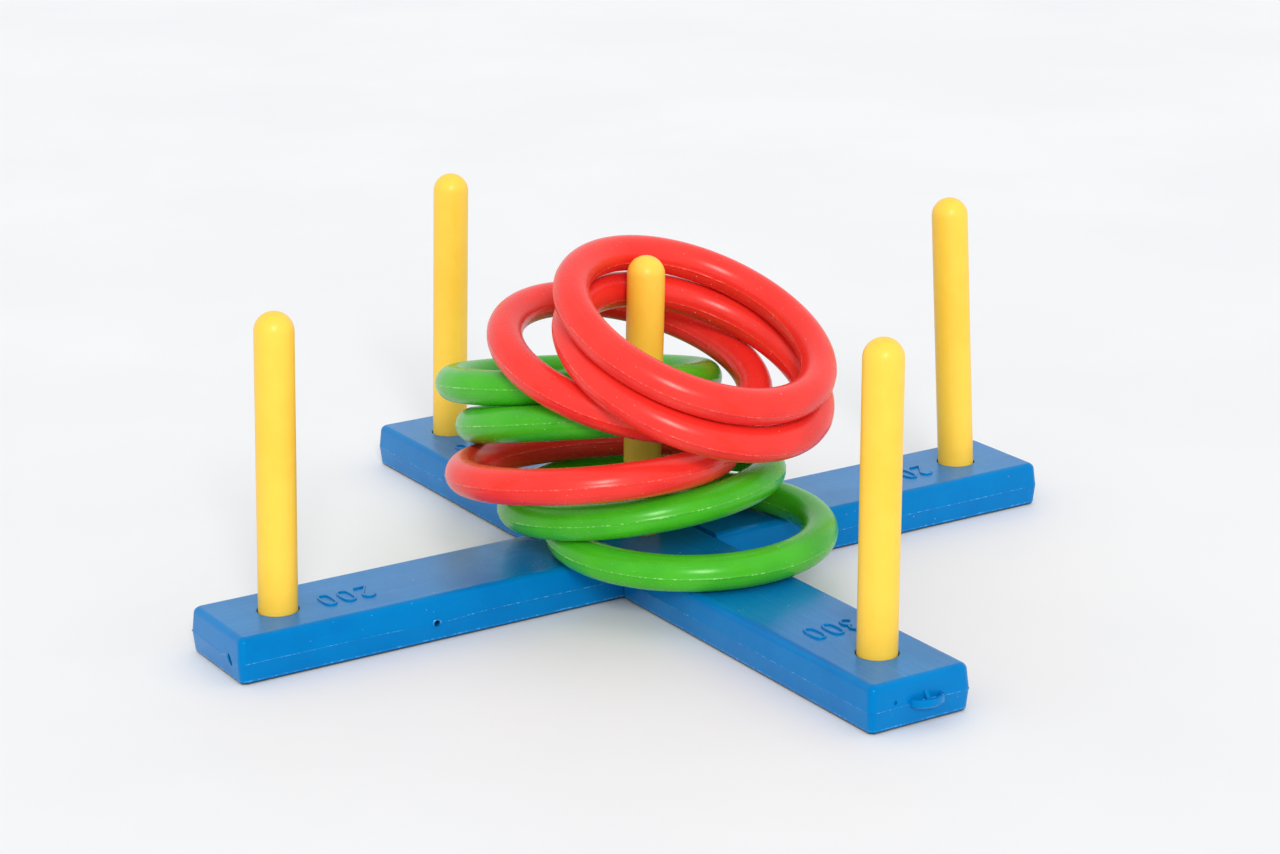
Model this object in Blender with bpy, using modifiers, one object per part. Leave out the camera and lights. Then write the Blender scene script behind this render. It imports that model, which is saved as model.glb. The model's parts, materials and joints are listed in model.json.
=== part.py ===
"""Ring toss set: two lapped hollow crossbars, five pegs and a pile of eight rings.

Metres, +Z up. The origin is on the floor, on the axis of the centre peg. The lower crossbar
runs along X and the upper one along Y, and the thrower stands on the -Y side.
"""

import math

import bmesh
import bpy
from mathutils import Matrix, Vector

OBJECT_NAME = "ring_toss_set"
FIT_GAP = 0.0003            # kept between two pieces that touch

# Crossbars
BAR_LENGTH = 0.547
BAR_WIDTH = 0.0660          # at the parting line, where a bar is widest
BAR_HEIGHT = 0.0268
BAR_DRAFT = 0.0013          # how far the top and bottom stand in from the parting line
BAR_EDGE_RADIUS = 0.0036
BAR_CORNER_RADIUS = 0.004
BAR_WALL = 0.0022
VENT_RADIUS = 0.0016
SIDE_VENT_ALONG = 0.1534    # from the centre, in the far side of the lower bar's right arm
END_VENT_ACROSS = 0.0185    # from the bar's middle line, in the right arm's end
FAR_VENT_ACROSS = 0.0143    # from the bar's middle line, in the far arm's end

# Hanging eye, moulded on the far end of the upper bar
EYE_LUG_WIDTH = 0.0218
EYE_ACROSS = 0.0026         # of its middle from the bar's middle line
EYE_LUG_REACH = 0.0076
EYE_LUG_THICKNESS = 0.0044
EYE_LUG_ROUNDING = 0.001
EYE_SLOT_WIDTH = 0.0140
EYE_SLOT_DEPTH = 0.0048
EYE_SLOT_ROUNDING = 0.0021

# Pegs
PEG_SPACING = 0.2338        # from the centre peg's socket to each of the others
PEG_RADIUS = 0.0110
PEG_LENGTH = 0.1907
PEG_WALL = 0.0018
PEG_CHAMFER = 0.001
PEG_BORE_RADIUS = PEG_RADIUS + 0.0005
LOOSE_BORE_RADIUS = PEG_RADIUS + 0.0011
PEG_SIDES = 24
PEG_DOME_STEPS = 6

# How the pegs stand: each leans a little with its socket, about the bar's mid-height, and is
# pushed in to its own depth. Name, place along X and Y in spacings, lean in degrees, the
# compass direction that its top leans towards in degrees from +X, and its foot's height.
PEGS = {
    "peg_centre": (0, 0, 2.43, 193.0, 0.0008),
    "peg_right": (1.005, 0, 1.9, 148.0, 0.0052),
    "peg_left": (-1, 0, 2.44, -32.0, 0.0051),
    "peg_far": (0, 1, 0.48, 148.0, 0.0078),
    "peg_near": (0, -1, 1.92, 148.0, 0.0069),
}

# Rings
RING_RADIUS = 0.0744        # centre of the ring to the centre of its tube
TUBE_RADIUS = 0.0104
RING_SEGMENTS = 36
TUBE_SEGMENTS = 10

BLUE = (0.0, 0.205, 0.66)
YELLOW = (0.95, 0.60, 0.03)
RED = (0.86, 0.030, 0.025)
GREEN = (0.055, 0.48, 0.025)

# How the rings lie, bottom to top, as they were dropped round the centre peg: name, colour,
# centre in millimetres, lean in degrees, and the compass direction that the ring's upper
# face leans towards, in degrees from +X. The first lies flat on the bars, the next four have
# their far side up, and the last three lean over the front of the pile the other way.
RING_PILE = (
    ("ring_1_green", GREEN, (-9.0, 41.0, 37.5), 0.0, 0.0),
    ("ring_2_green", GREEN, (5.5, 10.5, 57.6), 9.5, -65.0),
    ("ring_3_red", RED, (38.5, 11.0, 78.9), 9.0, -96.0),
    ("ring_4_green", GREEN, (11.0, -25.5, 91.8), 16.0, -111.0),
    ("ring_5_green", GREEN, (10.5, -49.9, 108.5), 12.5, -119.0),
    ("ring_6_red", RED, (5.0, -0.5, 131.2), 18.0, 114.0),
    ("ring_7_red", RED, (-10.5, 43.0, 136.5), 25.0, 113.0),
    ("ring_8_red", RED, (-10.5, 44.6, 159.1), 25.0, 113.0),
)


def new_collection(name):
    """A collection in the scene, which starts empty."""
    collection = bpy.data.collections.new(name)
    bpy.context.scene.collection.children.link(collection)
    return collection


def new_object(name, bm, collection):
    """Turns a bmesh into an object in one collection."""
    mesh = bpy.data.meshes.new(name)
    bm.to_mesh(mesh)
    bm.free()
    obj = bpy.data.objects.new(name, mesh)
    collection.objects.link(obj)
    return obj


def give_material(obj, colour, roughness):
    """A glossy moulded plastic of one colour, on this object alone."""
    material = bpy.data.materials.new(obj.name)
    material.use_nodes = True
    shader = material.node_tree.nodes["Principled BSDF"]
    shader.inputs["Base Color"].default_value = (*colour, 1.0)
    shader.inputs["Roughness"].default_value = roughness
    shader.inputs["Metallic"].default_value = 0.0
    obj.data.materials.append(material)


def drafted_block(length, width, height, edge_radius, corner_radius):
    """A block standing on z = 0 whose four sides bulge to a line half-way up."""
    bm = bmesh.new()
    bmesh.ops.create_cube(bm, size=1.0)
    top_length = length - 2 * BAR_DRAFT
    top_width = width - 2 * BAR_DRAFT
    bmesh.ops.scale(bm, vec=(top_length, top_width, height), verts=bm.verts)
    upright = [e for e in bm.edges if abs(e.verts[0].co.z - e.verts[1].co.z) > height / 2]
    bmesh.ops.bevel(bm, geom=upright, offset=corner_radius, segments=3, profile=0.5,
                    affect="EDGES")
    rim = [e for e in bm.edges
           if abs(e.verts[0].co.z - e.verts[1].co.z) < height / 4
           and any(abs(f.normal.z) < 0.5 for f in e.link_faces)]
    bmesh.ops.bevel(bm, geom=rim, offset=edge_radius, segments=2, profile=0.5, affect="EDGES")
    cut = bmesh.ops.bisect_plane(bm, geom=bm.verts[:] + bm.edges[:] + bm.faces[:],
                                 plane_co=(0, 0, 0), plane_no=(0, 0, 1))
    parting = [v for v in cut["geom_cut"] if isinstance(v, bmesh.types.BMVert)]
    bmesh.ops.scale(bm, vec=(length / top_length, width / top_width, 1.0), verts=parting)
    bmesh.ops.translate(bm, vec=(0, 0, height / 2), verts=bm.verts)
    return bm


def box(low, high, rounding=0.0):
    """A box between two corners, with its upright edges rounded if asked."""
    low, high = Vector(low), Vector(high)
    bm = bmesh.new()
    bmesh.ops.create_cube(bm, size=1.0)
    bmesh.ops.scale(bm, vec=high - low, verts=bm.verts)
    if rounding:
        upright = [e for e in bm.edges
                   if (e.verts[0].co.xy - e.verts[1].co.xy).length < rounding]
        bmesh.ops.bevel(bm, geom=upright, offset=rounding, segments=4, profile=0.5,
                        affect="EDGES")
    bmesh.ops.translate(bm, vec=(low + high) / 2, verts=bm.verts)
    return bm


def rod(centre, radius, length, direction, sides):
    """A cylinder along one direction, with its middle at the centre."""
    bm = bmesh.new()
    turn = Vector((0, 0, 1)).rotation_difference(Vector(direction)).to_matrix().to_4x4()
    bmesh.ops.create_cone(bm, cap_ends=True, segments=sides, radius1=radius, radius2=radius,
                          depth=length, matrix=Matrix.Translation(centre) @ turn)
    return bm


def peg_matrix(name):
    """A peg's own frame: its origin on the bar's mid-height, and its Z along the peg."""
    across, along, lean, towards, _ = PEGS[name]
    place = Matrix.Translation((across * PEG_SPACING, along * PEG_SPACING, BAR_HEIGHT / 2))
    return (place @ Matrix.Rotation(math.radians(towards), 4, "Z")
            @ Matrix.Rotation(math.radians(lean), 4, "Y"))


def socket_rods(pegs, radius):
    """Cylinders along the axes of some pegs, longer than the bar is high."""
    bm = bmesh.new()
    for peg in pegs:
        bmesh.ops.create_cone(bm, cap_ends=True, segments=PEG_SIDES, radius1=radius,
                              radius2=radius, depth=2 * BAR_HEIGHT, matrix=peg_matrix(peg))
    return bm


def new_cutter(name, bm, collection, turn=0.0):
    """A shape that only cuts: it is hidden in renders and drawn as wire."""
    cutter = new_object(name, bm, collection)
    cutter.rotation_euler.z = turn
    cutter.hide_render = True
    cutter.display_type = "WIRE"
    return cutter


def combine(obj, other, operation="DIFFERENCE"):
    """A Boolean modifier on obj with another object."""
    modifier = obj.modifiers.new(other.name, "BOOLEAN")
    modifier.operation = operation
    modifier.object = other
    modifier.solver = "EXACT"


def add_eye(bar, cutters, turn):
    """The flat half-round lug on the bar's end, with a slot through it to hang the set by."""
    end = BAR_LENGTH / 2
    middle = BAR_HEIGHT / 2
    lug = bmesh.new()
    bmesh.ops.create_cone(lug, cap_ends=True, segments=36, radius1=1.0, radius2=1.0, depth=1.0)
    bmesh.ops.scale(lug, vec=(EYE_LUG_REACH, EYE_LUG_WIDTH / 2, EYE_LUG_THICKNESS),
                    verts=lug.verts)
    rim = [e for e in lug.edges if abs(e.verts[0].co.z - e.verts[1].co.z) < 1e-6]
    bmesh.ops.bevel(lug, geom=rim, offset=EYE_LUG_ROUNDING, segments=2, profile=0.5,
                    affect="EDGES")
    bmesh.ops.translate(lug, vec=(end, EYE_ACROSS, middle), verts=lug.verts)
    combine(bar, new_cutter("eye_lug", lug, cutters, turn), "UNION")
    slot_low, slot_high = EYE_ACROSS - EYE_SLOT_WIDTH / 2, EYE_ACROSS + EYE_SLOT_WIDTH / 2
    slot = box((end + FIT_GAP, slot_low, middle - EYE_LUG_THICKNESS),
               (end + FIT_GAP + EYE_SLOT_DEPTH, slot_high, middle + EYE_LUG_THICKNESS),
               EYE_SLOT_ROUNDING)
    combine(bar, new_cutter("eye_slot", slot, cutters, turn))


def make_crossbar(name, parts, cutters, notch_above, turn, end_pegs, centre_radius, vents):
    """One hollow bar: drafted skin, half-lap notch, peg sockets and blow vents.

    end_pegs are the two that stand on it, and centre_radius is its bore's round the centre
    peg. vents holds (centre, direction) pairs in the bar's own frame, where it lies along X.
    """
    bar = new_object(name, drafted_block(BAR_LENGTH, BAR_WIDTH, BAR_HEIGHT, BAR_EDGE_RADIUS,
                                         BAR_CORNER_RADIUS), parts)
    bar.rotation_euler.z = turn
    if not notch_above:
        add_eye(bar, cutters, turn)

    # The notch takes half the height, and leaves a gap all round for the other bar.
    middle = BAR_HEIGHT / 2
    half = BAR_WIDTH / 2 + FIT_GAP
    if notch_above:
        notch_low, notch_high = middle - FIT_GAP / 2, 2 * BAR_HEIGHT
        wall_low, wall_high = notch_low - BAR_WALL, notch_high
    else:
        notch_low, notch_high = -BAR_HEIGHT, middle + FIT_GAP / 2
        wall_low, wall_high = notch_low, notch_high + BAR_WALL
    notch = box((-half, -BAR_WIDTH, notch_low), (half, BAR_WIDTH, notch_high))
    combine(bar, new_cutter(name + "_notch", notch, cutters, turn))

    # The hollow stops short of the notch and of the tubes that the pegs stand in.
    hollow = drafted_block(BAR_LENGTH - 2 * BAR_WALL, BAR_WIDTH - 2 * BAR_WALL,
                           BAR_HEIGHT - 2 * BAR_WALL, BAR_EDGE_RADIUS / 2,
                           BAR_CORNER_RADIUS / 2)
    bmesh.ops.translate(hollow, vec=(0, 0, BAR_WALL), verts=hollow.verts)
    cavity = new_cutter(name + "_cavity", hollow, cutters, turn)
    wall_half = half + BAR_WALL
    lap_wall = box((-wall_half, -BAR_WIDTH, wall_low), (wall_half, BAR_WIDTH, wall_high))
    combine(cavity, new_cutter(name + "_lap_wall", lap_wall, cutters, turn))
    for pegs, radius in ((end_pegs, PEG_BORE_RADIUS), (("peg_centre",), centre_radius)):
        tubes = socket_rods(pegs, radius + BAR_WALL)
        combine(cavity, new_cutter(f"{name}_tube_{pegs[0]}", tubes, cutters))
        bores = socket_rods(pegs, radius)
        combine(bar, new_cutter(f"{name}_bore_{pegs[0]}", bores, cutters))
    combine(bar, cavity)
    for number, (centre, direction) in enumerate(vents, 1):
        vent = rod(centre, VENT_RADIUS, 4 * BAR_WALL, direction, 12)
        combine(bar, new_cutter(f"{name}_vent_{number}", vent, cutters, turn))
    give_material(bar, BLUE, 0.38)
    return bar


def peg_profile(foot):
    """Half of a peg's section: down the outside from the dome, then up the inside."""
    dome_centre = foot + PEG_LENGTH - PEG_RADIUS
    inner = PEG_RADIUS - PEG_WALL
    points = []
    for step in range(PEG_DOME_STEPS + 1):
        angle = math.pi / 2 * (1 - step / PEG_DOME_STEPS)
        points.append((PEG_RADIUS * math.cos(angle), dome_centre + PEG_RADIUS * math.sin(angle)))
    points += [(PEG_RADIUS, foot + PEG_CHAMFER), (PEG_RADIUS - PEG_CHAMFER, foot),
               (inner, foot)]
    inner_steps = PEG_DOME_STEPS // 2
    for step in range(inner_steps + 1):
        angle = math.pi / 2 * step / inner_steps
        points.append((inner * math.cos(angle), dome_centre + inner * math.sin(angle)))
    return points


def make_peg(name, parts):
    """A round peg with a domed top, hollow and open at its foot."""
    bm = bmesh.new()
    verts = []
    foot = PEGS[name][4] - BAR_HEIGHT / 2
    for radius, z in peg_profile(foot):
        on_axis = radius < 1e-6
        verts.append(bm.verts.new((0.0 if on_axis else radius, 0.0, z)))
    for upper, lower in zip(verts, verts[1:]):
        bm.edges.new((upper, lower))
    peg = new_object(name, bm, parts)
    peg.matrix_world = peg_matrix(name)
    turned = peg.modifiers.new("turned", "SCREW")
    turned.axis = "Z"
    turned.angle = 2 * math.pi
    turned.steps = PEG_SIDES
    turned.render_steps = PEG_SIDES
    turned.use_merge_vertices = True
    turned.merge_threshold = 0.00001
    turned.use_smooth_shade = True
    give_material(peg, YELLOW, 0.35)
    return peg


def make_ring(name, parts, colour, centre_mm, lean_degrees, towards_degrees):
    """One tossing ring, lying where it fell."""
    bpy.ops.mesh.primitive_torus_add(major_radius=RING_RADIUS, minor_radius=TUBE_RADIUS,
                                     major_segments=RING_SEGMENTS,
                                     minor_segments=TUBE_SEGMENTS)
    ring = bpy.context.active_object
    ring.name = name
    for collection in list(ring.users_collection):
        collection.objects.unlink(ring)
    parts.objects.link(ring)
    ring.location = Vector(centre_mm) / 1000
    ring.rotation_euler = (0.0, math.radians(lean_degrees), math.radians(towards_degrees))
    ring.data.shade_smooth()
    give_material(ring, colour, 0.32)
    return ring


def main():
    for obj in list(bpy.data.objects):
        bpy.data.objects.remove(obj, do_unlink=True)
    parts = new_collection(OBJECT_NAME)
    cutters = new_collection("cutters")

    end = BAR_LENGTH / 2
    middle = BAR_HEIGHT / 2
    # The upper bar lifts straight up off the lower one with the leaning centre peg in it, so
    # the lower one's bore is loose.
    make_crossbar("crossbar_lower", parts, cutters, notch_above=True, turn=0.0,
                  end_pegs=("peg_right", "peg_left"), centre_radius=LOOSE_BORE_RADIUS,
                  vents=[((SIDE_VENT_ALONG, BAR_WIDTH / 2, middle), (0, 1, 0)),
                         ((end, END_VENT_ACROSS, middle), (1, 0, 0))])
    # Turned a quarter, the upper bar's own -Y side faces +X.
    make_crossbar("crossbar_upper", parts, cutters, notch_above=False, turn=math.pi / 2,
                  end_pegs=("peg_far", "peg_near"), centre_radius=PEG_BORE_RADIUS,
                  vents=[((end, -FAR_VENT_ACROSS, middle), (1, 0, 0))])

    for name in PEGS:
        make_peg(name, parts)

    for name, colour, centre, lean, towards in RING_PILE:
        make_ring(name, parts, colour, centre, lean, towards)


main()
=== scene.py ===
"""Ring toss set: the looks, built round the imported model.

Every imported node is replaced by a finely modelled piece: crossbars with their moulding
flash, score digits, vents and hanging eye, hollow pegs, and rings with the irregular parting
line of blow-moulded tube. Each is in its node's place, except that the top ring is settled
by half a millimetre. Sizes are in metres.
"""

import json
import math

import bmesh
import bpy
from mathutils import Matrix, Vector


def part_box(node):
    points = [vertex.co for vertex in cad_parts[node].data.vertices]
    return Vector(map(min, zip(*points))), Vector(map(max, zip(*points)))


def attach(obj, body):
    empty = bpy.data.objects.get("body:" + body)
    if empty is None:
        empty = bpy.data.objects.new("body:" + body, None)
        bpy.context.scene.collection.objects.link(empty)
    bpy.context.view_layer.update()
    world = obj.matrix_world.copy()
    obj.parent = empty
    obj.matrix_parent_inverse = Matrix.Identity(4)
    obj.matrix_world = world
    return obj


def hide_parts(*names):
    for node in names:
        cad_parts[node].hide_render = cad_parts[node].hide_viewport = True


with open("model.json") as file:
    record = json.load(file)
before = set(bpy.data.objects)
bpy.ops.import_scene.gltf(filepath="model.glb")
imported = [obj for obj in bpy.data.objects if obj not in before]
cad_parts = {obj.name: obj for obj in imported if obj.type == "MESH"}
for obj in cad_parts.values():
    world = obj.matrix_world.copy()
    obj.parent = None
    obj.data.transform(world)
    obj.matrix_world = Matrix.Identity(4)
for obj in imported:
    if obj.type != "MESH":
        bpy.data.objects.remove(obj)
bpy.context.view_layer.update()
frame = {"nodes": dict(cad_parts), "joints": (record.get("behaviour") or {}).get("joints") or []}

# Crossbars: their length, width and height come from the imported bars
BAR_DRAFT = 0.0011          # of a side, at half the bar's height from the parting line
BAR_EDGE_RADIUS = 0.0036
BAR_FOOT_RADIUS = 0.0021
BAR_CORNER_RADIUS = 0.004
CORNER_SHRINK = 0.75        # share of a rounded edge's inset that the corner radius loses
ROUNDING_STEPS = 6
LAP_GAP = 0.0003
BORE_CLEARANCE = 0.0005     # of a socket round its peg
LOOSE_CLEARANCE = 0.0011    # of the lower bar's bore round the centre peg
BORE_CHAMFER = 0.0005
BORE_STEPS = 96
ARRIS = 0.0003              # blunting of the notch's top edges
OVERCUT = 0.01              # that a cutter goes past what it cuts

# Parting line and moulding flash on the bars
BAR_FLASH_HEIGHT = 0.0125   # above the floor
BAR_FLASH_PROUD = 0.0004
BAR_FLASH_HALF_WIDTH = 0.00028
BAR_FLASH_SHOULDER = 0.004  # above and below it, where the draft starts
BAR_FLASH_WANDER = 0.00018  # up and down along the bar
BAR_FLASH_MEAN = 0.55       # share of its full reach, with its swing and its least
BAR_FLASH_SWING = 0.45
BAR_FLASH_LEAST = 0.15

# Blow vents in the lower bar, one in its side and one in its end, and the upper bar's dimple
VENT_DEPTH = 0.02
VENT_LIP = 0.0014           # of wall round a vent, with a wider cavity behind it
VENT_STEPS = 32
SIDE_VENT_X = 0.1537
SIDE_VENT_Z = 0.0114
SIDE_VENT_RADIUS = 0.0017
SIDE_VENT_CAVITY = 0.0045   # radius behind the lip
SIDE_VENT_FLARE = 0.0008    # more radius at its mouth
SIDE_VENT_DIP = 0.02        # reach along the bar of the parting line's dip to it
COLLAR_RADIUS = 0.0030
COLLAR_PROUD = 0.0006
COLLAR_ROOT = 0.002
END_VENT_Y = 0.0188
END_VENT_Z = 0.0118
END_VENT_HALF_WIDTH = 0.0024
END_VENT_HALF_HEIGHT = 0.0032
END_VENT_TAPER = 0.45       # share of its width that the tear loses at the top
END_VENT_LEAN = 0.5
END_VENT_CAVITY = 1.7       # times the hole's own size
END_VENT_FLARE = 1.35       # times the hole's own size at its mouth
END_VENT_DIP = 0.011
END_VENT_STEPS = 28
DIMPLE_X = 0.0168
DIMPLE_Z = 0.0155
DIMPLE_PROFILE = ((-0.0014, 0.0007), (-0.0013, 0.0010), (0.0, 0.0012), (0.001, 0.0015))

# Hanging eye on the upper bar's far end
EYE_X = -0.0026             # of its middle
EYE_HALF_WIDTH = 0.0109
EYE_WIRE = 0.0031
EYE_THICKNESS = 0.0044
EYE_FLASH = 0.0003
EYE_ROOT = 0.003            # of the strap's ends inside the bar
EYE_STEPS = 32
EYE_DIP = 0.012
RIB_HALF_WIDTH = 0.0011
RIB_REACH = 0.0034
RIB_RISE = 0.0052
RIB_ROOT = 0.002

# Score digits, and where each arm's number has its middle
DIGIT_WIDTH = 0.0068        # of a digit's centre line
DIGIT_HEIGHT = 0.0153
DIGIT_PITCH = 0.0118
STROKE_WIDTH = 0.0015
STROKE_HEIGHT = 0.0010
STROKE_ROOT = 0.0004
ZERO_SQUARENESS = 0.72      # power of the zero's rounded rectangle: 1 is an ellipse
ZERO_STEPS = 40
SCORE_RIGHT = (0.1945, 0.0036)
SCORE_LEFT = (-0.1917, 0.0043)
SCORE_FAR = (0.0, 0.1941)
SCORE_NEAR = (-0.0008, -0.1945)

# Pegs
PEG_WALL = 0.0018
PEG_CHAMFER = 0.0008
PEG_STEPS = 96
DOME_STEPS = 14
INNER_DOME_STEPS = 9
PEG_BANDS = (0.82, 0.64, 0.46, 0.28, 0.12)  # shares of the straight tube, where its width wavers
PEG_WAVER = 0.001

# Rings
RING_TUBE = 0.01034         # radius of the tube
RING_SWELL = 0.0022         # share by which the tube's radius varies
RING_FLASH_OUTER = 0.00022
RING_FLASH_INNER = 0.00018
RING_FLASH_HALF_WIDTH = 0.0002
RING_FLASH_WANDER = 0.00016
RING_FLASH_MEAN = 0.6       # as for the bars' flash
RING_FLASH_SWING = 0.6
RING_FLASH_LEAST = 0.1
RING_STEPS = 180
TUBE_STEPS = 40
TOP_RING = "ring_8_red"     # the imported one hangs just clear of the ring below, so it is settled
TOP_RING_DROP = 0.0003      # towards that ring
TOP_RING_SLIDE = 0.0004     # down its own slope

# Edges that turn by more than these, in degrees, are shaded as edges
BAR_SHARP_ANGLE = 38
PEG_SHARP_ANGLE = 50
RING_SHARP_ANGLE = 42

# Linear colours. A tint is the colour of what a surface reflects where it is seen face on.
BLUE = (0.0, 0.185, 0.50)
DEEP_BLUE = (0.0, 0.155, 0.45)
PALE_BLUE = (0.05, 0.36, 0.76)
# pale flash line, and the painted highlight on the rim above a bar's foot
LINE_AND_HIGHLIGHT_BLUE = (0.17, 0.50, 0.86)
# painted shade for a bar's foot, where it meets the floor
FOOT_SHADE = (0.004, 0.018, 0.05)
YELLOW = (0.97, 0.62, 0.065)
DEEP_YELLOW = (0.95, 0.56, 0.045)
PALE_YELLOW = (1.0, 0.72, 0.16)
RED = (0.88, 0.036, 0.026)
DEEP_RED = (0.80, 0.024, 0.018)
PALE_RED = (0.94, 0.19, 0.14)
GREEN = (0.060, 0.47, 0.014)
DEEP_GREEN = (0.036, 0.39, 0.008)
PALE_GREEN = (0.42, 0.76, 0.26)
WHITE = (1.0, 1.0, 1.0)
BLUE_TINT = (0.04, 0.50, 0.95)
RED_TINT = (1.0, 0.75, 0.72)
GREEN_TINT = (0.72, 1.0, 0.65)
DUST = (0.86, 0.86, 0.80)
FLOOR_TONES = ((0.80, 0.805, 0.82), (0.83, 0.835, 0.845))

# Plastic surface: noise scales are per metre
MOTTLE_SCALE = 28.0
GRAIN_SCALES = (9.0, 900.0)     # along and across the way the piece is drawn
SCUFF_SCALES = (45.0, 1500.0)
PATCH_SCALE = 40.0              # of the patches that scuffs keep to
LINE_BREAK_SCALE = 420.0
PEEL_SCALE = 320.0
DENT_SCALE = 30.0
GRAIN_DEPTH = 0.00009
PEEL_DEPTH = 0.00005
DENT_DEPTH = 0.0004
SPECK_SPACING, SPECK_RADIUS = 0.0042, 0.00042
FLECK_SPACING, FLECK_RADIUS = 0.0021, 0.00022
STREAK_RING_RADIUS = 0.0744     # at which a ring's streaks have their stated scale

# Marks that keep to a height. A fade gives the distances where a mark starts and is whole.
RING_LINE_FADE = (0.00042, 0.00018)     # off the ring's middle plane
SEAM_FADE = (0.0016, 0.0012)            # off the bar's parting line
SEAM_STRENGTH = 0.9
RIM_HIGHLIGHT_HEIGHT = 0.0023                     # of the painted highlight: a pale rim above a bar's rounded foot
RIM_HIGHLIGHT_FADE = (0.0005, 0.0002)
RIM_HIGHLIGHT_STRENGTH = 0.6
FOOT_SHADE_FADE = (0.0019, 0.0011)            # above the floor, of the painted shade along a bar's foot
FOOT_SHADE_STRENGTH = 0.95
TOP_FADE = (0.0004, 0.0001)             # below the bar's top
SIDE_STREAK_AND_SHEEN_SHARE = 0.2                          # share of the streaks, and of the painted sheen that their pale tone gives, that a bar's sides show

# Camera, fitted to the photograph: metres, degrees and millimetres
CAMERA_PLACE = (0.8843, 1.4227, 0.6147)
CAMERA_YAW = 58.118
CAMERA_PITCH = 17.390
CAMERA_ROLL = -0.670
CAMERA_LENS = 84.93
CAMERA_SENSOR = 36.0

# Light
TENT_COLOUR = (0.97, 0.985, 1.0)
TENT_STRENGTH = 0.93
KEY_COLOUR = (1.0, 0.985, 0.96)
KEY_ENERGY = 1.45
KEY_SPREAD = 15
KEY_AZIMUTH = 66
KEY_ELEVATION = 30
FLOOR_RADIUS = 14.0


# ---------------------------------------------------------------- shapes

def skin(rows, closed_rows=False):
    """Joins equal closed loops of points into one surface. closed_rows joins last to first."""
    bm = bmesh.new()
    rings = [[bm.verts.new(point) for point in row] for row in rows]
    pairs = list(zip(rings, rings[1:]))
    if closed_rows:
        pairs.append((rings[-1], rings[0]))
    count = len(rings[0])
    for low, high in pairs:
        for i in range(count):
            j = (i + 1) % count
            bm.faces.new((low[i], low[j], high[j], high[i]))
    if not closed_rows:
        bm.faces.new(list(reversed(rings[0])))
        bm.faces.new(rings[-1])
    bmesh.ops.recalc_face_normals(bm, faces=bm.faces)
    return bm


def new_object(name, bm):
    """Turns a bmesh into an object in the scene."""
    mesh = bpy.data.meshes.new(name)
    bm.to_mesh(mesh)
    bm.free()
    obj = bpy.data.objects.new(name, mesh)
    bpy.context.scene.collection.objects.link(obj)
    return obj


def keep_form(obj, turn):
    """Notes each point's place in the piece's own frame for its material, then turns the mesh."""
    mesh = obj.data
    places = mesh.attributes.new("form", "FLOAT_VECTOR", "POINT")
    for vertex, place in zip(mesh.vertices, places.data):
        place.vector = vertex.co
    mesh.transform(turn)


def wave(turns, seed, harmonics):
    """Smooth irregular wave from about -1 to 1 that repeats after a whole turn."""
    total = 0.0
    for k in range(1, harmonics + 1):
        frequency = k * 2 + (seed * 7 + k * k) % 5
        phase = math.tau * ((seed * 0.6180339 + k * 0.7548776) % 1.0)
        total += math.sin(math.tau * frequency * turns + phase) / math.sqrt(k)
    return total / 2.2


def smooth_step(low, high, value):
    """0 up to low, 1 from high, and an eased rise between them."""
    t = min(1.0, max(0.0, (value - low) / (high - low)))
    return t * t * (3 - 2 * t)


def rounded_rectangle(length, width, radius, long_steps=136, short_steps=16, corner_steps=8):
    """Points round a rounded rectangle."""
    points = []
    corners = ((1, 1), (-1, 1), (-1, -1), (1, -1))
    for number, (sx, sy) in enumerate(corners):
        centre = Vector((sx * (length / 2 - radius), sy * (width / 2 - radius)))
        start = number * math.pi / 2
        for step in range(corner_steps + 1):
            angle = start + math.pi / 2 * step / corner_steps
            out = Vector((math.cos(angle), math.sin(angle)))
            points.append(centre + radius * out)
        along = long_steps if number % 2 == 0 else short_steps
        after = corners[(number + 1) % 4]
        goal = Vector((after[0] * (length / 2 - radius), after[1] * (width / 2 - radius)))
        goal += radius * out
        last = points[-1].copy()
        points += [last.lerp(goal, step / along) for step in range(1, along)]
    return points


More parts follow.
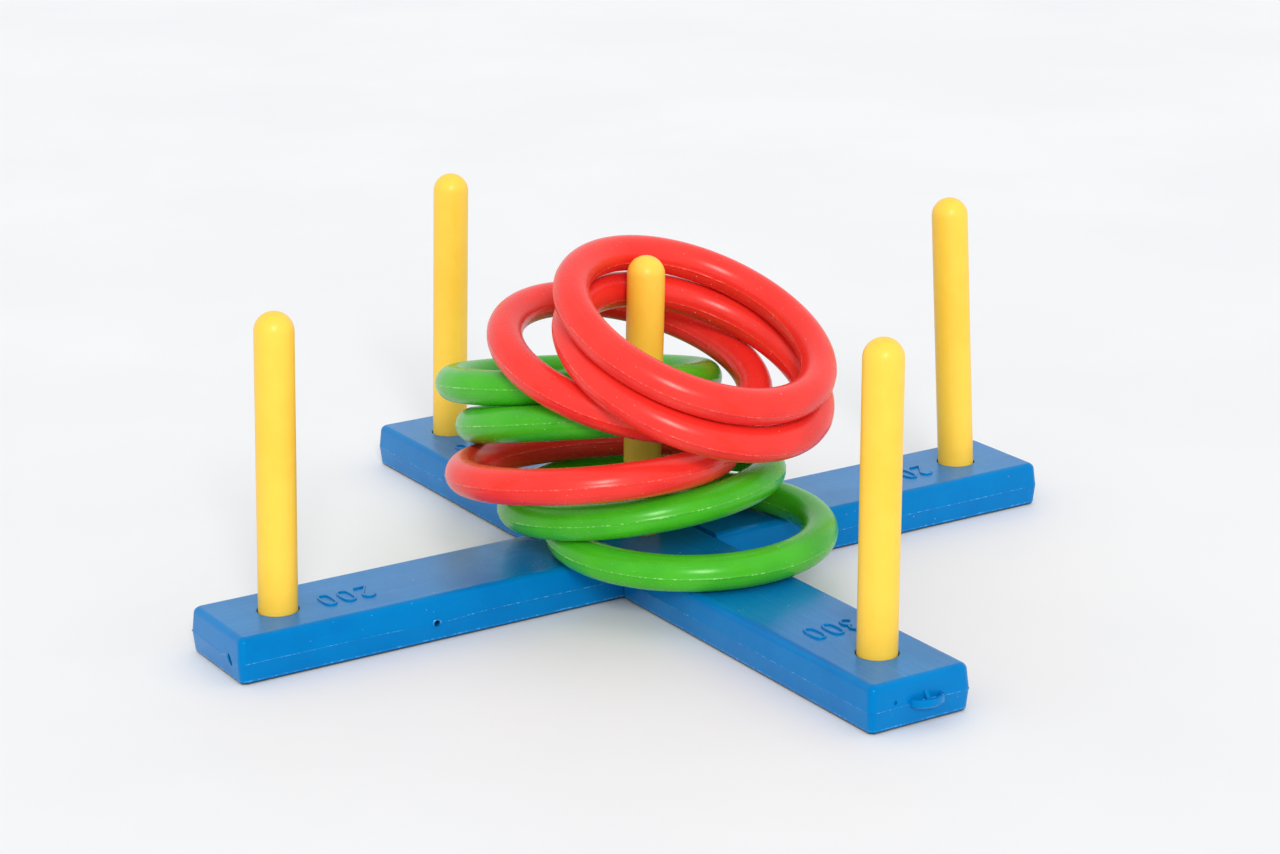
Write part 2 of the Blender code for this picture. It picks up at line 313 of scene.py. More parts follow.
def bar_rows(length, width, height, flash_dip):
    """Loops up a bar's outside: rounded foot, drafted side, wavy flash, side, rounded top."""
    middle = height / 2
    rows = []

    def loop(inset, radius, z, flash=False, follow=0.0):
        base = rounded_rectangle(length - 2 * inset, width - 2 * inset, radius)
        shape = rounded_rectangle(length, width, BAR_CORNER_RADIUS)
        row = []
        for number, (point, outer) in enumerate(zip(base, shape)):
            share = number / len(base)
            wander = BAR_FLASH_WANDER * wave(share, seed=3, harmonics=9)
            lift = follow * (wander + flash_dip(outer))
            if flash:
                growth = BAR_FLASH_MEAN + BAR_FLASH_SWING * wave(share, seed=11, harmonics=14)
                point = point + (outer - point) * min(1.0, max(BAR_FLASH_LEAST, growth))
            row.append(Vector((point.x, point.y, z + lift)))
        rows.append(row)

    def draft(z):
        return BAR_FLASH_PROUD + BAR_DRAFT * abs(z - BAR_FLASH_HEIGHT) / middle

    for step in range(ROUNDING_STEPS + 1):
        angle = math.pi / 2 * (1 - step / ROUNDING_STEPS)
        z = BAR_FOOT_RADIUS * (1 - math.sin(angle))
        extra = BAR_FOOT_RADIUS * (1 - math.cos(angle))
        loop(draft(z) + extra, BAR_CORNER_RADIUS - extra * CORNER_SHRINK, z)
    shoulder = BAR_FLASH_HEIGHT - BAR_FLASH_SHOULDER
    loop(draft(shoulder), BAR_CORNER_RADIUS, shoulder)
    low, high = BAR_FLASH_HEIGHT - BAR_FLASH_HALF_WIDTH, BAR_FLASH_HEIGHT + BAR_FLASH_HALF_WIDTH
    loop(BAR_FLASH_PROUD, BAR_CORNER_RADIUS, low, follow=1.0)
    loop(BAR_FLASH_PROUD, BAR_CORNER_RADIUS, BAR_FLASH_HEIGHT, flash=True, follow=1.0)
    loop(BAR_FLASH_PROUD, BAR_CORNER_RADIUS, high, follow=1.0)
    shoulder = BAR_FLASH_HEIGHT + BAR_FLASH_SHOULDER
    loop(draft(shoulder), BAR_CORNER_RADIUS, shoulder)
    for step in range(ROUNDING_STEPS + 1):
        angle = math.pi / 2 * step / ROUNDING_STEPS
        z = height - BAR_EDGE_RADIUS * (1 - math.sin(angle))
        extra = BAR_EDGE_RADIUS * (1 - math.cos(angle))
        loop(draft(z) + extra, BAR_CORNER_RADIUS - extra * CORNER_SHRINK, z)
    return rows


def prism(outline, low, high, axis):
    """A closed outline of (along, up) points, drawn out along X or Y from low to high."""
    def place(along, up, depth):
        return Vector((along, depth, up)) if axis == "Y" else Vector((depth, along, up))
    return skin([[place(a, u, depth) for a, u in outline] for depth in (low, high)])


def turned(profile, centre, direction, steps):
    """A solid of revolution: (distance along the axis, radius) pairs from end to end."""
    turn = Vector((0, 0, 1)).rotation_difference(Vector(direction)).to_matrix()
    rows = []
    for along, radius in profile:
        row = []
        for step in range(steps):
            angle = math.tau * step / steps
            local = Vector((radius * math.cos(angle), radius * math.sin(angle), along))
            row.append(Vector(centre) + turn @ local)
        rows.append(row)
    return skin(rows)


def swept(path, section, up, closed):
    """A section of (side, up) points carried along a path; side points to the path's right."""
    rows = []
    count = len(path)
    for number, point in enumerate(path):
        before = path[(number - 1) % count] if closed or number else point
        after = path[(number + 1) % count] if closed or number < count - 1 else point
        ahead = (after - before).normalized()
        side = ahead.cross(up).normalized()
        rows.append([point + side * s + up * u for s, u in section])
    return skin(rows, closed_rows=closed)


# ---------------------------------------------------------------- score digits

def arc(centre_x, centre_y, radius_x, radius_y, start, end, steps):
    """Points of an ellipse's arc, with its angles in degrees."""
    points = []
    for step in range(steps + 1):
        angle = math.radians(start + (end - start) * step / steps)
        points.append((centre_x + radius_x * math.cos(angle),
                       centre_y + radius_y * math.sin(angle)))
    return points


def digit_strokes(digit):
    """The centre lines of one digit's strokes round the origin, and whether each is closed."""
    half_width, half_height = DIGIT_WIDTH / 2, DIGIT_HEIGHT / 2
    if digit == "0":
        path = []
        for step in range(ZERO_STEPS):
            angle = math.tau * step / ZERO_STEPS
            x, y = math.cos(angle), math.sin(angle)
            path.append((half_width * math.copysign(abs(x) ** ZERO_SQUARENESS, x),
                         half_height * math.copysign(abs(y) ** ZERO_SQUARENESS, y)))
        return [(path, True)]
    if digit == "1":
        return [([(-half_width * 0.7, half_height * 0.62), (0.0, half_height)], False),
                ([(0.0, half_height * 1.04), (0.0, -half_height)], False)]
    if digit == "2":
        bend = half_height - half_width
        path = arc(0, bend, half_width, half_width, 170, -30, 14)
        return [(path + [(-half_width, -half_height), (half_width, -half_height)], False)]
    upper, lower = half_height * 0.47, half_height * 0.53
    return [(arc(0, half_height - upper, half_width * 0.94, upper, 155, -85, 14), False),
            (arc(0, lower - half_height, half_width, lower, 85, -155, 14), False)]


def score(number, centre, top):
    """The raised digits of one arm's score, read from the thrower's side."""
    half, height, buried = STROKE_WIDTH / 2, STROKE_HEIGHT, -STROKE_ROOT
    section = [(-half, buried), (half, buried), (half * 0.9, height * 0.55),
               (half * 0.62, height * 0.9), (0, height), (-half * 0.62, height * 0.9),
               (-half * 0.9, height * 0.55)]
    up = Vector((0, 0, 1))
    strokes = []
    for place, digit in enumerate(str(number)):
        middle = centre[0] + (place - 1) * DIGIT_PITCH
        for path, closed in digit_strokes(digit):
            points = [Vector((middle + x, centre[1] + y, top)) for x, y in path]
            strokes.append(new_object(f"digit_{number}_{place}",
                                      swept(points, section, up, closed)))
    return strokes


# ---------------------------------------------------------------- crossbars

def combine(obj, others, operation):
    """Applies Booleans with the others, which are then removed."""
    for other in others:
        modifier = obj.modifiers.new(other.name, "BOOLEAN")
        modifier.operation = operation
        modifier.object = other
        modifier.solver = "EXACT"
    graph = bpy.context.evaluated_depsgraph_get()
    mesh = bpy.data.meshes.new_from_object(obj.evaluated_get(graph))
    obj.modifiers.clear()
    obj.data = mesh
    for other in others:
        bpy.data.objects.remove(other)


def mesh_points(node):
    """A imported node's points, each once, since its faces don't share them."""
    vertices = frame["nodes"][node].data.vertices
    return [Vector(key) for key in sorted({tuple(round(c, 6) for c in v.co) for v in vertices})]


def peg_place(node):
    """A packed peg's foot on its axis, the direction that it leans in, length and radius."""
    axis = next(Vector(j["axis"]) for j in frame["joints"] if j["child"] == node).normalized()
    points = mesh_points(node)
    along = [point.dot(axis) for point in points]
    rim = [p for p, a in zip(points, along) if a < min(along) + 0.0001]
    foot = sum(rim, Vector()) / len(rim)
    radius = max((p - foot - axis * (p - foot).dot(axis)).length for p in points)
    return foot, axis, max(along) - min(along), radius


def socket_cutters(top, pegs, clearance):
    """Bores along their pegs right through a bar, with a small chamfer at the bar's top."""
    cutters = []
    reach = 3 * OVERCUT
    for peg in pegs:
        foot, axis, _, peg_radius = peg_place(peg)
        radius = peg_radius + clearance
        bore = turned([(-reach, radius), (top + reach, radius)], foot, axis, BORE_STEPS)
        cutters.append(new_object(peg + "_bore", bore))
        mouth = foot + axis * (top - foot.z) / axis.z
        rise = OVERCUT / 2
        cone = turned([(-BORE_CHAMFER, radius - 0.00001), (rise, radius + rise + BORE_CHAMFER)],
                      mouth, (0, 0, 1), BORE_STEPS)
        cutters.append(new_object(peg + "_mouth", cone))
    return cutters


def hanging_eye(end, middle):
    """A half-loop of rounded strap, and the rib that stiffens it on the bar's end."""
    half, thick = EYE_WIRE / 2, EYE_THICKNESS / 2
    section = [(-half, -thick * 0.6), (-half * 0.5, -thick), (half * 0.5, -thick),
               (half, -thick * 0.6), (half, -EYE_FLASH / 2), (half + EYE_FLASH, 0),
               (half, EYE_FLASH / 2), (half, thick * 0.6), (half * 0.5, thick),
               (-half * 0.5, thick), (-half, thick * 0.6)]
    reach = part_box("crossbar_upper")[1].y - end - half - EYE_FLASH
    span = EYE_HALF_WIDTH - half
    path = [Vector((EYE_X - span, end - EYE_ROOT, middle))]
    for step in range(EYE_STEPS + 1):
        angle = math.pi * (1 - step / EYE_STEPS)
        path.append(Vector((EYE_X + span * math.cos(angle), end + reach * math.sin(angle),
                            middle)))
    path.append(Vector((EYE_X + span, end - EYE_ROOT, middle)))
    loop = new_object("eye_loop", swept(path, section, Vector((0, 0, 1)), False))
    outline = [(end - RIB_ROOT, middle - 0.0005), (end + RIB_REACH, middle - 0.0003),
               (end + RIB_REACH - 0.0004, middle + 0.0009), (end - 0.0004, middle + RIB_RISE),
               (end - RIB_ROOT, middle + RIB_RISE)]
    rib = prism(outline, EYE_X - RIB_HALF_WIDTH, EYE_X + RIB_HALF_WIDTH, "X")
    return [loop, new_object("eye_rib", rib)]


def finish_bar(bar):
    """Puts the bar's turn into its mesh, and keeps its edges crisp and its big faces flat."""
    turn = Matrix.Rotation(bar.rotation_euler.z, 4, "Z")
    bar.rotation_euler.z = 0.0
    keep_form(bar, turn)
    bar.data.shade_smooth()
    bar.data.set_sharp_from_angle(angle=math.radians(BAR_SHARP_ANGLE))
    weighted = bar.modifiers.new("weighted", "WEIGHTED_NORMAL")
    weighted.keep_sharp = True
    weighted.weight = 90


def side_vent_collar(face):
    """A low collar round the side vent, standing out of the side's face."""
    profile = [(-COLLAR_ROOT, COLLAR_RADIUS), (0.0002, COLLAR_RADIUS),
               (COLLAR_PROUD, COLLAR_RADIUS - 0.0005), (COLLAR_PROUD, SIDE_VENT_RADIUS + 0.0004)]
    place = (SIDE_VENT_X, face, SIDE_VENT_Z)
    return new_object("side_collar", turned(profile, place, (0, 1, 0), VENT_STEPS))


def side_vent(face):
    """Cutter for the round vent in the side: flared mouth, thin lip and the cavity behind."""
    profile = [(-VENT_DEPTH, SIDE_VENT_CAVITY), (-VENT_LIP, SIDE_VENT_CAVITY),
               (-VENT_LIP + 0.0001, SIDE_VENT_RADIUS), (0.0002, SIDE_VENT_RADIUS),
               (0.0014, SIDE_VENT_RADIUS + SIDE_VENT_FLARE)]
    place = (SIDE_VENT_X, face, SIDE_VENT_Z)
    return new_object("side_vent", turned(profile, place, (0, 1, 0), VENT_STEPS))


def end_vent(end):
    """Cutter for the leaning tear-shaped vent in the bar's end."""
    rows = []
    depths = ((end - VENT_DEPTH, END_VENT_CAVITY), (end - VENT_LIP, END_VENT_CAVITY),
              (end - VENT_LIP + 0.0001, 1.05), (end - 0.0004, 1.0), (end + 0.001, END_VENT_FLARE))
    for depth, grow in depths:
        row = []
        for step in range(END_VENT_STEPS):
            angle = math.tau * step / END_VENT_STEPS
            narrow = 1.0 - END_VENT_TAPER * max(0.0, math.sin(angle))
            y = END_VENT_HALF_WIDTH * grow * narrow * math.cos(angle)
            z = END_VENT_HALF_HEIGHT * grow * math.sin(angle)
            row.append(Vector((depth, END_VENT_Y + y - END_VENT_LEAN * z, END_VENT_Z + z)))
        rows.append(row)
    return new_object("end_vent", skin(rows))


def lower_bar():
    """The bar along X, notched from above."""
    low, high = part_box("crossbar_lower")
    length, width, height = high - low
    lap_low, lap_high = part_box("crossbar_upper")
    lap_half = (lap_high.x - lap_low.x) / 2 + LAP_GAP
    middle = height / 2

    def dips(outer):
        side = math.exp(-((outer.x - SIDE_VENT_X) / SIDE_VENT_DIP) ** 2) * (outer.y > width / 4)
        end = math.exp(-((outer.y - END_VENT_Y) / END_VENT_DIP) ** 2) * (outer.x > length / 2.1)
        return (SIDE_VENT_Z - BAR_FLASH_HEIGHT) * side + (END_VENT_Z - BAR_FLASH_HEIGHT) * end

    bar = new_object("lower_crossbar", skin(bar_rows(length, width, height, dips)))
    floor = middle - LAP_GAP / 2
    above = height + OVERCUT
    flared = lap_half + ARRIS + OVERCUT
    notch = [(-lap_half, floor), (lap_half, floor), (lap_half, height - ARRIS),
             (flared, above), (-flared, above), (-lap_half, height - ARRIS)]
    cutters = [new_object("lower_notch", prism(notch, -width, width, "Y"))]
    cutters += socket_cutters(height, ("peg_right", "peg_left"), BORE_CLEARANCE)
    cutters += socket_cutters(floor, ("peg_centre",), LOOSE_CLEARANCE)
    face = width / 2 - BAR_FLASH_PROUD
    end = length / 2 - BAR_FLASH_PROUD
    scores = score(200, SCORE_RIGHT, height) + score(200, SCORE_LEFT, height)
    combine(bar, [side_vent_collar(face)] + scores, "UNION")
    cutters.append(side_vent(face))
    cutters.append(end_vent(end))
    combine(bar, cutters, "DIFFERENCE")
    finish_bar(bar)
    return bar


def upper_bar():
    """The bar along Y, notched from below, with the hanging eye."""
    low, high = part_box("crossbar_upper")
    lap_low, lap_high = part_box("crossbar_lower")
    width, height = high.x - low.x, high.z - low.z
    length = -2 * low.y
    lap_half = (lap_high.y - lap_low.y) / 2 + LAP_GAP
    middle = height / 2

    def dips(outer):
        end = (outer.x > length / 2.1) * math.exp(-((outer.y + EYE_X) / EYE_DIP) ** 2)
        return (middle - BAR_FLASH_HEIGHT) * end

    bar = new_object("upper_crossbar", skin(bar_rows(length, width, height, dips)))
    bar.rotation_euler.z = math.pi / 2
    bpy.context.view_layer.update()
    end = length / 2 - BAR_FLASH_PROUD
    scores = score(300, SCORE_FAR, height) + score(100, SCORE_NEAR, height)
    combine(bar, hanging_eye(end, middle) + scores, "UNION")
    ceiling = middle + LAP_GAP / 2
    notch = [(-lap_half, -OVERCUT), (lap_half, -OVERCUT), (lap_half, ceiling),
             (-lap_half, ceiling)]
    cutters = [new_object("upper_notch", prism(notch, -width, width, "X"))]
    cutters += socket_cutters(height, ("peg_far", "peg_centre", "peg_near"), BORE_CLEARANCE)
    dimple = turned(DIMPLE_PROFILE, (DIMPLE_X, end, DIMPLE_Z), (0, 1, 0), 20)
    cutters.append(new_object("end_dimple", dimple))
    combine(bar, cutters, "DIFFERENCE")
    finish_bar(bar)
    return bar


# ---------------------------------------------------------------- pegs and rings

def fine_peg(node):
    """A domed tube, open at its foot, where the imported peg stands."""
    foot, axis, height, radius = peg_place(node)
    dome = height - radius
    inner = radius - PEG_WALL
    outside = []
    for step in range(1, DOME_STEPS + 1):
        angle = math.pi / 2 * (1 - step / DOME_STEPS)
        outside.append((dome + radius * math.sin(angle), radius * math.cos(angle)))
    for share in PEG_BANDS:
        waver = PEG_WAVER * abs(wave(share, seed=5, harmonics=3))
        outside.append((dome * share, radius * (1 - waver)))
    outside += [(PEG_CHAMFER, radius), (PEG_CHAMFER * 0.3, radius - PEG_CHAMFER * 0.3),
                (0.0, radius - PEG_CHAMFER), (0.0, inner + 0.0003), (0.0003, inner)]
    inside = []
    for step in range(INNER_DOME_STEPS):
        angle = math.pi / 2 * step / INNER_DOME_STEPS
        inside.append((dome + inner * math.sin(angle), inner * math.cos(angle)))
    peg = new_object("domed_" + node, turned(outside + inside, (0, 0, 0), (0, 0, 1), PEG_STEPS))
    keep_form(peg, Vector((0, 0, 1)).rotation_difference(axis).to_matrix().to_4x4())
    peg.location = foot
    peg.data.shade_smooth()
    peg.data.set_sharp_from_angle(angle=math.radians(PEG_SHARP_ANGLE))
    return peg


def ring_place(node):
    """Centre, rotation and tube-centre radius of a packed ring, from its mesh."""
    points = mesh_points(node)
    centre = sum(points, Vector()) / len(points)
    spread = Matrix(((0, 0, 0), (0, 0, 0), (0, 0, 0)))
    for point in points:
        q = point - centre
        for i in range(3):
            for j in range(3):
                spread[i][j] += q[i] * q[j]
    # The axis is the direction of least spread: the inverse's powers converge on it.
    inverse = spread.inverted()
    axis = Vector((0.01, 0.02, 1.0))
    for _ in range(60):
        axis = (inverse @ axis).normalized()
    if axis.z < 0:
        axis.negate()
    rotation = Vector((0, 0, 1)).rotation_difference(axis)
    reach = [(p - centre - axis * (p - centre).dot(axis)).length for p in points]
    return centre, rotation, (max(reach) + min(reach)) / 2


def flash_growth(share, seed):
    """How far a ring's flash stands out at a share of the way round it."""
    growth = RING_FLASH_MEAN + RING_FLASH_SWING * wave(share, seed, harmonics=16)
    return max(RING_FLASH_LEAST, growth)


def fine_ring(node, seed):
    """A blow-moulded ring: round tube with an irregular parting line outside and inside."""
    centre, rotation, radius = ring_place(node)
    if node == TOP_RING:
        axis = rotation @ Vector((0, 0, 1))
        uphill = axis.cross(Vector((0, 0, 1)).cross(axis)).normalized()
        centre = centre - axis * TOP_RING_DROP - uphill * TOP_RING_SLIDE
    lip = RING_FLASH_HALF_WIDTH / RING_TUBE
    section = [(math.tau * step / TUBE_STEPS, 0) for step in range(TUBE_STEPS)]
    section = [entry for entry in section if abs(math.sin(entry[0])) > 0.01]
    section += [(-lip, 0), (0.0, RING_FLASH_OUTER), (lip, 0),
                (math.pi - lip, 0), (math.pi, RING_FLASH_INNER), (math.pi + lip, 0)]
    section.sort(key=lambda entry: entry[0] % math.tau)
    rows = []
    for step in range(RING_STEPS):
        share = step / RING_STEPS
        around = Vector((math.cos(math.tau * share), math.sin(math.tau * share), 0))
        swell = 1 + RING_SWELL * wave(share, seed, harmonics=4)
        drift = RING_FLASH_WANDER * wave(share, seed + 3, harmonics=8)
        outer_growth, inner_growth = flash_growth(share, seed + 9), flash_growth(share, seed + 17)
        row = []
        for angle, proud in section:
            growth = outer_growth if math.cos(angle) > 0 else inner_growth
            near_line = smooth_step(0.75, 1.0, abs(math.cos(angle)))
            reach = RING_TUBE * swell + proud * growth
            point = around * (radius + reach * math.cos(angle))
            point.z = reach * math.sin(angle) + drift * near_line
            row.append(point)
        rows.append(row)
    ring = new_object("blown_" + node, skin(rows, closed_rows=True))
    keep_form(ring, rotation.to_matrix().to_4x4())
    ring.location = centre
    ring.data.shade_smooth()
    ring.data.set_sharp_from_angle(angle=math.radians(RING_SHARP_ANGLE))
    return ring


# ---------------------------------------------------------------- materials

class Shader:
    """A Principled material and short ways to add nodes to it."""

    def __init__(self, name, roughness, ior, tint=(1.0, 1.0, 1.0)):
        self.material = bpy.data.materials.new(name)
        self.material.use_nodes = True
        self.tree = self.material.node_tree
        self.surface = self.tree.nodes["Principled BSDF"]
        self.surface.inputs["Roughness"].default_value = roughness
        self.surface.inputs["IOR"].default_value = ior
        self.surface.inputs["Specular Tint"].default_value = (*tint, 1.0)
        self.place = self.add("ShaderNodeAttribute").outputs["Vector"]
        self.place.node.attribute_name = "form"
        self.xyz = self.add("ShaderNodeSeparateXYZ", Vector=self.place).outputs

    def add(self, kind, **inputs):
        node = self.tree.nodes.new(kind)
        for key, value in inputs.items():
            self.feed(node.inputs[key.replace("_", " ")], value)
        return node

    def feed(self, socket, value):
        if isinstance(value, bpy.types.NodeSocket):
            self.tree.links.new(value, socket)
        else:
            socket.default_value = value

    def math(self, operation, *values):
        node = self.tree.nodes.new("ShaderNodeMath")
        node.operation = operation
        for socket, value in zip(node.inputs, values):
            self.feed(socket, value)
        return node.outputs[0]

    def ramp(self, value, low, high, to_low=0.0, to_high=1.0):
        node = self.add("ShaderNodeMapRange", Value=value)
        node.interpolation_type = "SMOOTHSTEP"
        for name, number in (("From Min", low), ("From Max", high), ("To Min", to_low),
                             ("To Max", to_high)):
            self.feed(node.inputs[name], number)
        return node.outputs[0]

    def vector(self, x, y, z):
        return self.add("ShaderNodeCombineXYZ", X=x, Y=y, Z=z).outputs[0]

    def noise(self, vector, scale, detail=3.0, roughness=0.55, w=None):
        node = self.add("ShaderNodeTexNoise", Scale=scale, Detail=detail, Roughness=roughness)
        if w is not None:
            node.noise_dimensions = "4D"
            self.feed(node.inputs["W"], w)
        self.feed(node.inputs["Vector"], vector)
        return node.outputs[0]

    def mix(self, factor, first, second):
        node = self.tree.nodes.new("ShaderNodeMix")
        node.data_type = "RGBA"
        sockets = [s for s in node.inputs if s.enabled]
        for socket, value in zip(sockets, (factor, first, second)):
            if isinstance(value, tuple):
                value = (*value, 1.0)
            self.feed(socket, value)
        return [s for s in node.outputs if s.enabled][0]

    def specks(self, spacing, size, share):
        """Small round marks, about a spacing apart, in a share of the places."""
        node = self.add("ShaderNodeTexVoronoi", Scale=1 / spacing, Vector=self.place)
        picked = self.add("ShaderNodeSeparateColor", Color=node.outputs["Color"]).outputs[0]
        round_mark = self.ramp(node.outputs["Distance"], size / spacing, 0.4 * size / spacing)
        return self.math("MULTIPLY", round_mark, self.ramp(picked, 1 - share, 1 - share + 0.03))

    def bump(self, height, distance, below=None):
        node = self.add("ShaderNodeBump", Height=height, Distance=distance)
        if below is not None:
            self.feed(node.inputs["Normal"], below)
        return node.outputs[0]


def plastic(name, colours, tint, roughness, ior, dust, drawn, streaks, line=None,
            line_and_highlight_colour=None, rubbed_and_sheen=None, foot=None):
    """Moulded polyethylene: mottled colour, fine draw streaks, dust and a pale parting line.

    streaks(shader, slow, fast) gives a noise drawn out along the piece, and drawn is how much
    it shows. line(shader), rubbed(shader) and foot(shader) give how much of the parting line,
    the streaks and the painted shade along the foot a point has, where the piece has them. On
    the bars, line(shader) also gives a painted highlight on the rim above the foot, and the
    streaks' pale tone on the top is partly a painted sheen.
    """
    base, deep, pale = colours
    s = Shader(name, roughness, ior, tint)
    mottle = s.noise(s.place, MOTTLE_SCALE, 4.0, 0.6)
    colour = s.mix(s.ramp(mottle, 0.3, 0.75), base, deep)
    grain = streaks(s, *GRAIN_SCALES)
    scuff = s.ramp(streaks(s, *SCUFF_SCALES), 0.66, 0.74)
    # on the bars, the paler streaks on the top are partly a painted sheen
    if rubbed_and_sheen is not None:
        worn_and_sheen = rubbed_and_sheen(s)
        grain = s.math("MULTIPLY", grain, worn_and_sheen)
        scuff = s.math("MULTIPLY", scuff, worn_and_sheen)
    colour = s.mix(s.ramp(grain, 0.5, 0.8, 0.0, 0.22 * drawn), colour, pale)
    patchy = s.ramp(s.noise(s.place, PATCH_SCALE, 2.0), 0.5, 0.62)
    scuff = s.math("MULTIPLY", scuff, patchy)
    colour = s.mix(s.math("MULTIPLY", scuff, 0.35 * drawn), colour, pale)
    specks = s.specks(SPECK_SPACING, SPECK_RADIUS, dust)
    flecks = s.specks(FLECK_SPACING, FLECK_RADIUS, dust * 1.3)
    marks = s.math("MAXIMUM", specks, flecks)
    colour = s.mix(s.math("MULTIPLY", marks, 0.75), colour, DUST)
    rough = s.math("ADD", roughness - 0.06, s.math("MULTIPLY", mottle, 0.12))
    rough = s.math("ADD", rough, s.math("MULTIPLY", scuff, 0.16 * drawn))
    height = s.math("ADD", grain, s.math("MULTIPLY", scuff, -0.8))
    # the pale parting line, and on the bars also the painted highlight on the rim above the foot
    if line is not None:
        whitened_and_highlight = line(s)
        broken = s.ramp(s.noise(s.place, LINE_BREAK_SCALE, 3.0), 0.48, 0.68, 0.10, 0.9)
        whitened_and_highlight = s.math("MULTIPLY", whitened_and_highlight, broken)
        colour = s.mix(whitened_and_highlight, colour, line_and_highlight_colour or pale)
        rough = s.math("ADD", rough, s.math("MULTIPLY", whitened_and_highlight, 0.12))
    # painted shade along the foot
    if foot is not None:
        colour = s.mix(foot(s), colour, FOOT_SHADE)
    s.feed(s.surface.inputs["Base Color"], colour)
    s.feed(s.surface.inputs["Roughness"], rough)
    normal = s.bump(height, GRAIN_DEPTH * drawn)
    normal = s.bump(s.noise(s.place, PEEL_SCALE, 3.0), PEEL_DEPTH, normal)
    normal = s.bump(s.noise(s.place, DENT_SCALE, 1.0), DENT_DEPTH, normal)
    s.feed(s.surface.inputs["Normal"], normal)
    return s.material


def bar_streaks(s, slow, fast):
    """Noise drawn out along the bar, which lies along its own X."""
    x, y, z = s.xyz
    vector = s.vector(s.math("MULTIPLY", x, slow), s.math("MULTIPLY", y, fast),
                      s.math("MULTIPLY", z, fast))
    return s.noise(vector, 1.0, 3.0)


def peg_streaks(s, slow, fast):
    """Noise drawn out along the peg, which stands along its own Z."""
    x, y, z = s.xyz
    vector = s.vector(s.math("MULTIPLY", x, fast), s.math("MULTIPLY", y, fast),
                      s.math("MULTIPLY", z, slow))
    return s.noise(vector, 1.0, 3.0)


def ring_streaks(s, slow, fast):
    """Noise drawn out round the ring: slow round its circle, fast round its tube."""
    x, y, z = s.xyz
    out = s.math("SQRT", s.math("ADD", s.math("MULTIPLY", x, x), s.math("MULTIPLY", y, y)))
    circle = STREAK_RING_RADIUS * slow
    vector = s.vector(s.math("MULTIPLY", s.math("DIVIDE", x, out), circle),
                      s.math("MULTIPLY", s.math("DIVIDE", y, out), circle),
                      s.math("MULTIPLY", out, fast))
    return s.noise(vector, 1.0, 3.0, w=s.math("MULTIPLY", z, fast))


def ring_line(s):
    """The parting line, in the ring's own middle plane."""
    return s.ramp(s.math("ABSOLUTE", s.xyz[2]), *RING_LINE_FADE)


def bar_top(s):
    """How much of the streaks shows: all on a bar's top, and less elsewhere; their pale tone on
    the top is partly a painted sheen.
    """
    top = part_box("crossbar_lower")[1].z
    start, whole = TOP_FADE
    return s.ramp(s.xyz[2], top - start, top - whole, SIDE_STREAK_AND_SHEEN_SHARE, 1.0)


def bar_foot(s):
    """Painted shade along a bar's bottom edge, darkest next to the floor."""
    return s.ramp(s.xyz[2], *FOOT_SHADE_FADE, 0.0, FOOT_SHADE_STRENGTH)


def bar_line(s):
    """The pale flash round a bar's sides and ends, and a painted highlight: a pale rim above its
    foot.
    """
    x, y, z = s.xyz
    near = s.ramp(s.math("ABSOLUTE", s.math("SUBTRACT", z, BAR_FLASH_HEIGHT)), *SEAM_FADE)
    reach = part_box("crossbar_lower")[1]
    ridge = BAR_FLASH_PROUD * 0.8       # the strip nearest to the bar's widest outline
    along = s.math("ABSOLUTE", x)
    side = s.math("GREATER_THAN", s.math("ABSOLUTE", y), reach.y - ridge)
    end = s.math("MULTIPLY", s.math("GREATER_THAN", along, reach.x - ridge),
                 s.math("LESS_THAN", along, reach.x + ridge))
    seam = s.math("MULTIPLY", s.math("MULTIPLY", near, SEAM_STRENGTH),
                  s.math("MAXIMUM", side, end))
    # painted highlight: a pale rim above the rounded foot
    off_rim_highlight = s.math("ABSOLUTE", s.math("SUBTRACT", z, RIM_HIGHLIGHT_HEIGHT))
    rim = s.ramp(off_rim_highlight, *RIM_HIGHLIGHT_FADE, 0.0, RIM_HIGHLIGHT_STRENGTH)
    return s.math("MAXIMUM", seam, rim)


# ---------------------------------------------------------------- camera, floor and light

def add_camera():
    """The photograph's view, from the far right over the hanging eye."""
    yaw, pitch, roll = (math.radians(a) for a in (CAMERA_YAW, CAMERA_PITCH, CAMERA_ROLL))
    ahead = Vector((-math.cos(pitch) * math.cos(yaw), -math.cos(pitch) * math.sin(yaw),
                    -math.sin(pitch)))
    level = ahead.cross(Vector((0, 0, 1))).normalized()
    over = level.cross(ahead)
    right = math.cos(roll) * level + math.sin(roll) * over
    up = -math.sin(roll) * level + math.cos(roll) * over
    data = bpy.data.cameras.new("camera")
    data.sensor_width = CAMERA_SENSOR
    data.lens = CAMERA_LENS
    data.clip_end = 50.0
    camera = bpy.data.objects.new("camera", data)
    bpy.context.scene.collection.objects.link(camera)
    rows = Matrix((right, up, -ahead)).transposed()
    camera.matrix_world = Matrix.Translation(CAMERA_PLACE) @ rows.to_4x4()
    bpy.context.scene.camera = camera


def add_floor():
    """A wide disc of pale paper."""
    bm = bmesh.new()
    bmesh.ops.create_circle(bm, cap_ends=True, segments=96, radius=FLOOR_RADIUS)
    floor = new_object("floor", bm)
    keep_form(floor, Matrix.Identity(4))
    s = Shader("floor_paper", 0.6, 1.35)
    tone = s.ramp(s.noise(s.place, 3.0, 4.0), 0.3, 0.7)
    s.feed(s.surface.inputs["Base Color"], s.mix(tone, *FLOOR_TONES))
    floor.data.materials.append(s.material)


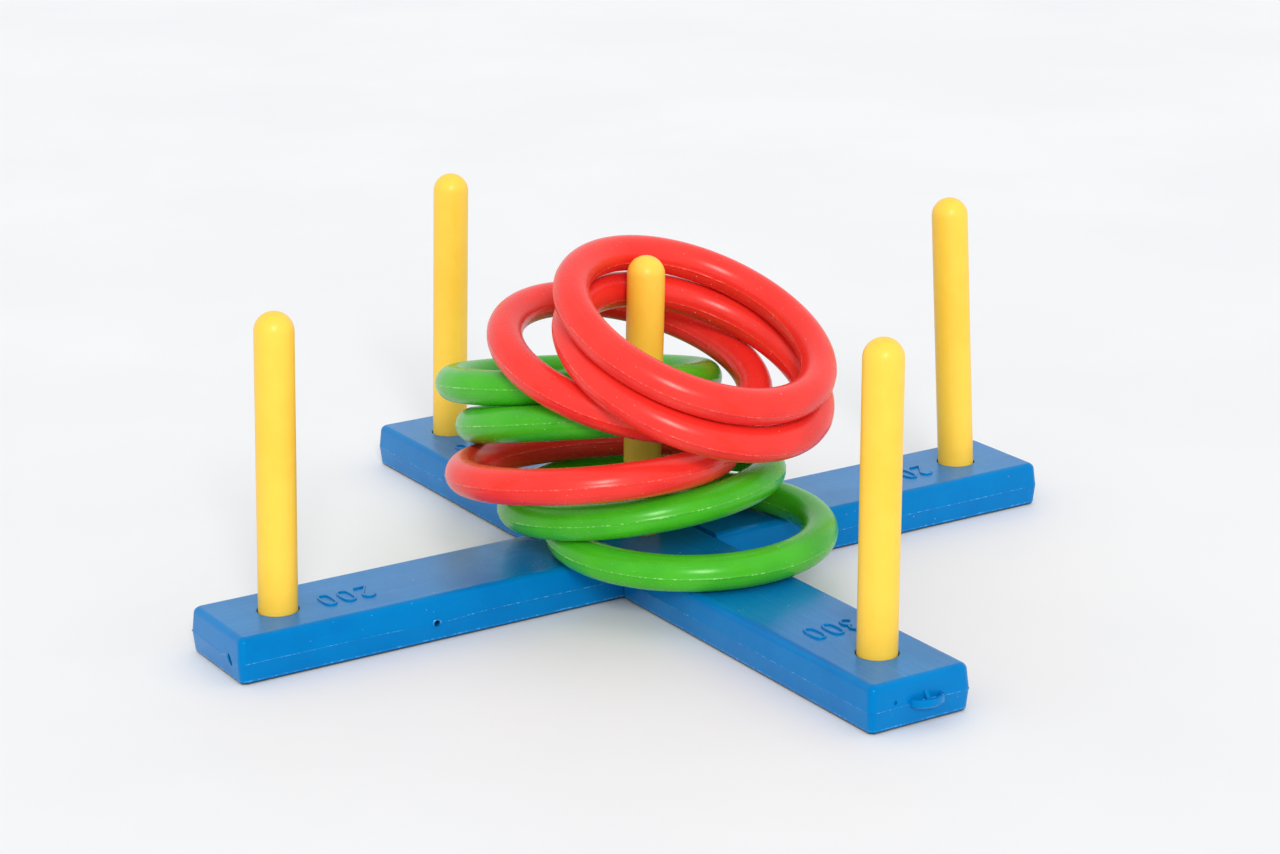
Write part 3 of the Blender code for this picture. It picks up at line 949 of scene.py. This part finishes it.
def add_light():
    """A white tent all round, and a large soft key over the camera."""
    world = bpy.data.worlds.new("tent")
    world.use_nodes = True
    background = world.node_tree.nodes["Background"]
    background.inputs["Color"].default_value = (*TENT_COLOUR, 1.0)
    background.inputs["Strength"].default_value = TENT_STRENGTH
    bpy.context.scene.world = world
    key = bpy.data.lights.new("key", "SUN")
    key.energy = KEY_ENERGY
    key.angle = math.radians(KEY_SPREAD)
    key.color = KEY_COLOUR
    lamp = bpy.data.objects.new("key", key)
    azimuth, height = math.radians(KEY_AZIMUTH), math.radians(KEY_ELEVATION)
    towards = Vector((math.cos(height) * math.cos(azimuth), math.cos(height) * math.sin(azimuth),
                      math.sin(height)))
    lamp.rotation_euler = towards.to_track_quat("Z", "Y").to_euler()
    bpy.context.scene.collection.objects.link(lamp)
    bpy.context.scene.view_settings.view_transform = "Standard"


def main():
    """Sets up the view and the light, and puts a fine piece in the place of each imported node."""
    add_camera()
    add_floor()
    add_light()
    # the blue paints light too: a highlight on the rim above the foot, shade along the foot and a
    # sheen on the tops
    blue = plastic("moulded_blue", (BLUE, DEEP_BLUE, PALE_BLUE), BLUE_TINT,
                   roughness=0.22, ior=1.55, dust=0.035, drawn=1.5, streaks=bar_streaks,
                   line=bar_line, line_and_highlight_colour=LINE_AND_HIGHLIGHT_BLUE, rubbed_and_sheen=bar_top, foot=bar_foot)
    yellow = plastic("moulded_yellow", (YELLOW, DEEP_YELLOW, PALE_YELLOW), WHITE,
                     roughness=0.36, ior=1.40, dust=0.01, drawn=0.6, streaks=peg_streaks)
    red = plastic("moulded_red", (RED, DEEP_RED, PALE_RED), RED_TINT,
                  roughness=0.27, ior=1.46, dust=0.12, drawn=0.3, streaks=ring_streaks,
                  line=ring_line)
    green = plastic("moulded_green", (GREEN, DEEP_GREEN, PALE_GREEN), GREEN_TINT,
                    roughness=0.27, ior=1.46, dust=0.16, drawn=0.3, streaks=ring_streaks,
                    line=ring_line)
    pieces = [(lower_bar(), "crossbar_lower", blue), (upper_bar(), "crossbar_upper", blue)]
    rings = 0
    for node in sorted(frame["nodes"]):
        if node.startswith("peg_"):
            pieces.append((fine_peg(node), node, yellow))
        elif node.startswith("ring_"):
            rings += 1
            pieces.append((fine_ring(node, rings), node, red if node.endswith("red") else green))
    for piece, node, material in pieces:
        piece.data.materials.clear()
        piece.data.materials.append(material)
        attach(piece, node)
        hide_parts(node)


main()
